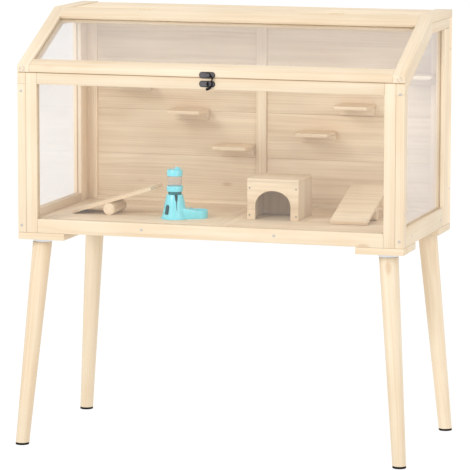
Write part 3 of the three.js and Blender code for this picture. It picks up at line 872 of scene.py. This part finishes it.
class CAGE_OT_shelves(CageOperator, bpy.types.Operator):
    """Make the wall shelves, each a board with rounded corners on a cleat"""

    bl_idname = "cage.shelves"
    bl_label = "Shelves"

    def make(self):
        thickness, cleat, corner = 9 * MM, 12 * MM, 9 * MM
        for name in sorted(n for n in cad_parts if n.startswith("shelf_")):
            low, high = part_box(name)
            split = high.z - thickness
            deselect()
            bottom = Vector((low.x, low.y, split))
            bpy.ops.mesh.primitive_cube_add(size=1, location=(bottom + high) / 2, scale=high - bottom)
            board = settle(bpy.context.object, name + "_board")
            edit(board)
            select_edges(board, lambda at, along: at.y < low.y + MM and abs(along.z) > 0.9)
            bpy.ops.mesh.bevel(offset=corner, segments=6, affect="EDGES")
            round_edges(board, 1.2 * MM, 3)
            fit(board, "cage", "board", wood(board, X, "board", figure=0.8, tone=1.05), name)
            rail = block(name + "_cleat", (low.x, high.y - cleat, low.z), (high.x, high.y, split), MM)
            fit(rail, "cage", "board", wood(rail, X, "board"), name)


class CAGE_OT_ramps(CageOperator, bpy.types.Operator):
    """Make the two rocking ramps"""

    bl_idname = "cage.ramps"
    bl_label = "Rocking Ramps"

    def make(self):
        thickness = 9 * MM
        pith = Vector((0.3, 3 * MM, 2 * MM))
        for side, along in (("left", X), ("right", Y)):
            log, board = f"{side}_ramp_log", f"{side}_ramp_board"
            low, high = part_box(board)
            length = (high - low).dot(along)
            rise = high.z - low.z - thickness
            grain = along * length + Z * rise if side == "left" else X
            member(board, side + "_board", grain, kind="board", width=1.2 * MM, tone=1.03)
            across = Y if side == "left" else X
            member(log, side + "_log", across, kind="board", width=1.5 * MM, pith=pith)


class CAGE_OT_house(CageOperator, bpy.types.Operator):
    """Make the house's front, walls and roof"""

    bl_idname = "cage.house"
    bl_label = "House"

    def make(self):
        options = {"kind": "board", "figure": 0.9, "knots": 0.1, "width": 0.6 * MM}
        member("house_front", "house", X, tone=0.95, **options)
        member("house_walls", "house", Z, tone=0.88, **options)
        member("house_roof", "house", X, tone=0.97, **options)


class CAGE_OT_feeder(CageOperator, bpy.types.Operator):
    """Make the feeder's base, bottle and cap"""

    bl_idname = "cage.feeder"
    bl_label = "Feeder"

    # Sizes in millimetres: the cone's profile is radii and heights
    turn = 28
    cone = ((36, 0), (36, 2.6), (35, 3.6), (33.2, 5), (31.8, 10), (28.9, 24), (25.3, 41), (20.9, 60.6))
    wall = 2
    bowl_out, bowl_radius, bowl_height = 60, 25, 22

    def make(self):
        low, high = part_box("feeder_bottle")
        self.axis = Vector(((low.x + high.x) / 2, (low.y + high.y) / 2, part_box("feeder_base")[0].z))
        self.base()
        self.bottle()
        self.cap()

    def body(self, name, profile):
        return turned(name, self.axis, [(radius * MM, height * MM) for radius, height in profile])

    def base(self):
        shell = self.body("feeder_cone", (*self.cone, (20.3, 61.7)))
        bowl = self.bowl()
        combine(shell, bowl, "UNION")
        hollow = self.body("hollow", [(radius - self.wall, height - 1) for radius, height in self.cone])
        tools = [self.window(), self.slot(9, 5.5, 46, 64), self.slot(2.6, 1.6, 22, 47)]
        for tool in (hollow, *tools):
            combine(shell, tool)
        discard(bowl, hollow, *tools)
        round_edges(shell, 0.5 * MM, 2, math.radians(50))
        fit(shell, "feeder", "turquoise", turquoise(), "feeder_base")

    def bowl(self):
        """The food bowl on the cone's side, with its rim sloping down away from the cone."""
        along = compass(self.turn)
        middle = self.axis + along * self.bowl_out * MM
        lift = Z * self.bowl_height / 2 * MM
        rim = self.axis.z + (self.bowl_height - 1) * MM
        deselect()
        bpy.ops.mesh.primitive_cylinder_add(
            vertices=48,
            radius=self.bowl_radius * MM,
            depth=self.bowl_height * MM,
            location=middle + lift,
        )
        bowl = settle(bpy.context.object, "bowl")
        deselect()
        bpy.ops.mesh.primitive_cube_add(
            size=1,
            location=self.axis + along * 36 * MM + lift,
            rotation=(0, 0, math.radians(self.turn)),
            scale=(44 * MM, 2 * self.bowl_radius * MM, self.bowl_height * MM),
        )
        neck = settle(bpy.context.object, "neck")
        move_where(neck, lambda at: at.z > rim and (at - self.axis).dot(along) < 30 * MM, Z * 6 * MM)
        combine(bowl, neck, "UNION")
        pan = turned("pan", middle, ((18 * MM, 3 * MM), (22 * MM, 6 * MM), (23 * MM, 30 * MM)))
        combine(bowl, pan)
        discard(neck, pan)
        slope = Z * -1.6 * MM
        move_where(bowl, lambda at: at.z > rim and (at - self.axis).dot(along) > 50 * MM, slope)
        return bowl

    def window(self):
        """An arch through the cone's wall, to the left of its front."""
        from_turn = 145
        out = compass(self.turn - from_turn)
        top_centre = Z * 30 * MM
        deselect()
        bpy.ops.mesh.primitive_cylinder_add(
            vertices=40,
            radius=7 * MM,
            depth=40 * MM,
            rotation=(math.pi / 2, 0, math.radians(self.turn - from_turn + 90)),
            location=self.axis + out * 30 * MM + top_centre,
        )
        tool = settle(bpy.context.object, "window")
        sill = self.axis + Z * 12 * MM
        lower_half = self.axis.z + top_centre.z - 0.1 * MM
        move_where(tool, lambda at: at.z < lower_half, Z * -15 * MM)
        edit(tool)
        bpy.ops.mesh.bisect(plane_co=sill, plane_no=Z, use_fill=True, clear_inner=True)
        bpy.ops.object.mode_set(mode="OBJECT")
        return tool

    def slot(self, top, bottom, low, high):
        """One stretch of the slot down the cone's front: its widths and heights in millimetres."""
        out = compass(self.turn - 90)
        deselect()
        bpy.ops.mesh.primitive_cube_add(
            size=1,
            location=self.axis + out * 25 * MM + Z * (low + high) / 2 * MM,
            rotation=(0, 0, math.radians(self.turn)),
            scale=(top * MM, 50 * MM, (high - low) * MM),
        )
        tool = settle(bpy.context.object, "slot")
        foot = self.axis.z + (low + 1) * MM
        for across in (compass(self.turn), compass(self.turn + 180)):
            inward = across * (bottom - top) / 2 * MM
            move_where(tool, lambda at: at.z < foot and (at - self.axis).dot(across) > 0, inward)
        return tool

    def bottle(self):
        seat, ring = 62, 69.5
        outline = ((3, 30), (5, 38), (5, seat), (16.6, seat), (17, seat + 0.4), (17, ring - 0.1))
        spout = self.body("feeder_neck", outline)
        # The neck gets painted shade: a dark teal for the shade inside the cone, where the clear plastic
        # would be
        fit(spout, "bottle", "clear_plastic", painted_shade_plastic(), "feeder_bottle")
        outline = ((20, ring), (20.5, ring + 0.6), (20.5, ring + 13), (20, ring + 14))
        collar = self.body("feeder_ring", outline)
        bore = self.body("bore", ((18.6, ring + 0.9), (18.6, ring + 20)))
        combine(collar, bore)
        discard(bore)
        fit(smooth(collar), "bottle", "turquoise", turquoise(), "feeder_bottle")
        outline = ((18.5, ring + 1), (18.5, ring + 39), (17.3, ring + 39), (17.3, ring + 2.2))
        wall = self.body("feeder_bottle_wall", outline)
        fit(wall, "bottle", "clear_plastic", bottle_plastic(), "feeder_bottle")

    def cap(self):
        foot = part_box("feeder_cap")[0].z
        start = (foot - self.axis.z) / MM
        skirt = ((19.4, 0), (20, 0.7), (20, 13.5), (19, 15.5), (16, 17))
        cap = self.body("feeder_cap_shell", [(radius, start + height) for radius, height in skirt])
        outline = ((7, 10), (6.6, 20.6), (5.2, 22))
        outline = [(radius * MM, (start + height) * MM) for radius, height in outline]
        knob = turned("knob", self.axis + compass(15) * 6.5 * MM, outline, 32)
        combine(cap, knob, "UNION")
        discard(knob)
        fit(smooth(cap), "bottle_cap", "turquoise", turquoise(), "feeder_cap")


class CAGE_OT_screws(CageOperator, bpy.types.Operator):
    """Set the screws in the frame and the house"""

    bl_idname = "cage.screws"
    bl_label = "Screws"

    def make(self):
        head = self.cross_head(settings().screw_radius)
        small = self.cross_head(2.1 * MM)
        # Across and up from the box's lower left corner, in millimetres
        front_spots = ((327, 19), (671, 19), (9.5, 358), (9.5, 18), (989, 378), (989, 17))
        for number, (x, z) in enumerate(front_spots, 1):
            place = (CAGE_LEFT + x * MM, CAGE_FRONT, CAGE_UNDER + z * MM)
            self.put(head, f"front_screw_{number}", place, 0)
        # Back and up from the box's lower front corner
        side_spots = ((12, 82), (89, 20), (394, 20), (486, 90), (486, 450))
        for side, sign in SIDES:
            face = sign * -CAGE_LEFT
            for number, (y, z) in enumerate(side_spots, 1):
                place = (face, CAGE_FRONT + y * MM, CAGE_UNDER + z * MM)
                self.put(head, f"{side}_screw_{number}", place, sign * math.pi / 2)
        low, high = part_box("house_roof")
        # In from the house's sides and down from its top
        for number, (x, z) in enumerate(((6.5, 24), (6.5, 93), (-6.5, 24), (-6.5, 93)), 1):
            edge = low.x if x > 0 else high.x
            place = (edge + x * MM, low.y, high.z - z * MM)
            self.put(small, f"house_screw_{number}", place, 0, "house", latch_face())
        discard(head, small)

    def cross_head(self, radius):
        """A countersunk head facing -Y at the origin, with a cross recess."""
        deselect()
        depth = 2 * MM
        bpy.ops.mesh.primitive_cylinder_add(
            vertices=24,
            radius=radius,
            depth=depth,
            rotation=(math.pi / 2, 0, 0),
            location=(0, depth / 2, 0),
        )
        head = settle(bpy.context.object, "screw_head")
        round_edges(head, 0.25 * MM)
        for turn in (0, math.pi / 2):
            deselect()
            bpy.ops.mesh.primitive_cube_add(
                size=1, scale=(radius * 1.1, 1.2 * MM, radius * 0.28), rotation=(0, turn, 0)
            )
            slot = settle(bpy.context.object, "slot")
            combine(head, slot)
            discard(slot)
        return head

    def put(self, head, name, place, turn, body="cage", material=None):
        """A copy of a head, turned about the vertical and standing 0.2 mm proud of its place."""
        made = bpy.data.objects.new(name, head.data.copy())
        bpy.context.scene.collection.objects.link(made)
        outward = Vector((math.sin(turn), -math.cos(turn), 0))
        made.rotation_euler = (0, 0, turn)
        made.location = Vector(place) + outward * 0.2 * MM
        fit(settle(made, name), body, "zinc", material or zinc())


class CAGE_OT_lid_plugs(CageOperator, bpy.types.Operator):
    """Set the ringed screw plugs in the ends of the lid's front lip; the zinc ring's grey is partly
    painted shade for the gap round each plug
    """

    bl_idname = "cage.lid_plugs"
    bl_label = "Lid Plugs"

    def make(self):
        low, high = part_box("lid_stile_left")
        height = low.z + 11 * MM
        for side, sign in SIDES:
            place = (sign * (-CAGE_LEFT - 13 * MM), low.y, height)
            deselect()
            bpy.ops.mesh.primitive_cylinder_add(
                vertices=40,
                radius=6 * MM,
                depth=2 * MM,
                rotation=(math.pi / 2, 0, 0),
                location=Vector(place) + Y * 0.6 * MM,
            )
            plug = settle(bpy.context.object, f"lid_{side}_plug")
            round_edges(plug, 0.3 * MM)
            fit(plug, "lid", "pine", wood(plug, Y))
            deselect()
            # The ring is partly painted shade: its grey stands in for the shade of the gap round the
            # plug
            bpy.ops.mesh.primitive_torus_add(
                major_radius=6 * MM,
                minor_radius=0.7 * MM,
                major_segments=40,
                minor_segments=8,
                rotation=(math.pi / 2, 0, 0),
                location=place,
            )
            ring = smooth(settle(bpy.context.object, f"lid_{side}_plug_ring_and_shade"))
            fit(ring, "lid", "zinc", zinc())


class CAGE_OT_stage(CageOperator, bpy.types.Operator):
    """Set up the floor, the light and the camera"""

    bl_idname = "cage.stage"
    bl_label = "Stage"

    def make(self):
        self.floor()
        self.light()
        self.camera()
        bpy.context.scene.view_settings.view_transform = "Standard"
        bpy.context.scene.cycles.transparent_max_bounces = 24

    def floor(self):
        deselect()
        bpy.ops.mesh.primitive_plane_add(size=60)
        floor = settle(bpy.context.object, "studio_floor")
        material, tree, shader = new_material("Studio floor")
        shader.inputs["Base Color"].default_value = (0.14, 0.14, 0.14, 1)
        shader.inputs["Roughness"].default_value = 1.0
        shader.inputs["Specular IOR Level"].default_value = 0.0
        shader.inputs["Emission Color"].default_value = (1, 1, 1, 1)
        shader.inputs["Emission Strength"].default_value = 0.88
        floor.data.materials.append(material)

    def light(self):
        world = bpy.data.worlds.new("Studio")
        bpy.context.scene.world = world
        world.use_nodes = True
        world.node_tree.nodes["Background"].inputs["Color"].default_value = (1, 1, 1, 1)
        world.node_tree.nodes["Background"].inputs["Strength"].default_value = 1.0
        for name, place, size, power in (
            ("key", (-2.2, -4.5, 3.4), 1.4, 104),
            ("fill", (3.5, -3.0, 2.2), 2.5, 40),
        ):
            deselect()
            bpy.ops.object.light_add(type="AREA", location=place)
            lamp = bpy.context.object
            lamp.name = name
            lamp.data.size = size
            lamp.data.energy = power
            aim = Vector((0, 0, 0.75)) - Vector(place)
            lamp.rotation_euler = aim.to_track_quat("-Z", "Y").to_euler()

    def camera(self):
        deselect()
        bpy.ops.object.camera_add(location=(2.4362, -8.1180, 1.7275))
        camera = bpy.context.object
        camera.rotation_euler = (
            math.radians(90 - 8.115),
            math.radians(-0.097),
            math.radians(16.777),
        )
        camera.data.lens = 256.9
        camera.data.sensor_width = 36
        camera.data.shift_x = 0.0040
        camera.data.shift_y = 0.0047
        camera.data.clip_end = 100
        bpy.context.scene.camera = camera


class CAGE_PT_panel(bpy.types.Panel):
    """Sidebar panel with the cage's settings and its operators"""

    bl_label = "Hamster Cage"
    bl_space_type = "VIEW_3D"
    bl_region_type = "UI"
    bl_category = "Cage"

    def draw(self, context):
        for name in CageSettings.__annotations__:
            self.layout.prop(context.scene.hamster_cage, name)
        for operator in OPERATORS:
            self.layout.operator(operator.bl_idname)


OPERATORS = (
    CAGE_OT_stage,
    CAGE_OT_front_wall,
    CAGE_OT_side_walls,
    CAGE_OT_back_wall,
    CAGE_OT_floor,
    CAGE_OT_flat_top,
    CAGE_OT_lid,
    CAGE_OT_lid_plugs,
    CAGE_OT_hinges,
    CAGE_OT_latch,
    CAGE_OT_legs,
    CAGE_OT_shelves,
    CAGE_OT_ramps,
    CAGE_OT_house,
    CAGE_OT_feeder,
    CAGE_OT_screws,
)


def register():
    for made in (CageSettings, *OPERATORS, CAGE_PT_panel):
        bpy.utils.register_class(made)
    bpy.types.Scene.hamster_cage = bpy.props.PointerProperty(type=CageSettings)


def unregister():
    del bpy.types.Scene.hamster_cage
    for made in reversed((CageSettings, *OPERATORS, CAGE_PT_panel)):
        bpy.utils.unregister_class(made)


def main():
    register()
    bpy.ops.cage.stage()
    bpy.ops.cage.front_wall()
    bpy.ops.cage.side_walls()
    bpy.ops.cage.back_wall()
    bpy.ops.cage.floor()
    bpy.ops.cage.flat_top()
    bpy.ops.cage.lid()
    bpy.ops.cage.lid_plugs()
    bpy.ops.cage.hinges()
    bpy.ops.cage.latch()
    bpy.ops.cage.legs()
    bpy.ops.cage.shelves()
    bpy.ops.cage.ramps()
    bpy.ops.cage.house()
    bpy.ops.cage.feeder()
    bpy.ops.cage.screws()
    deselect()


if __name__ == "__main__":
    main()
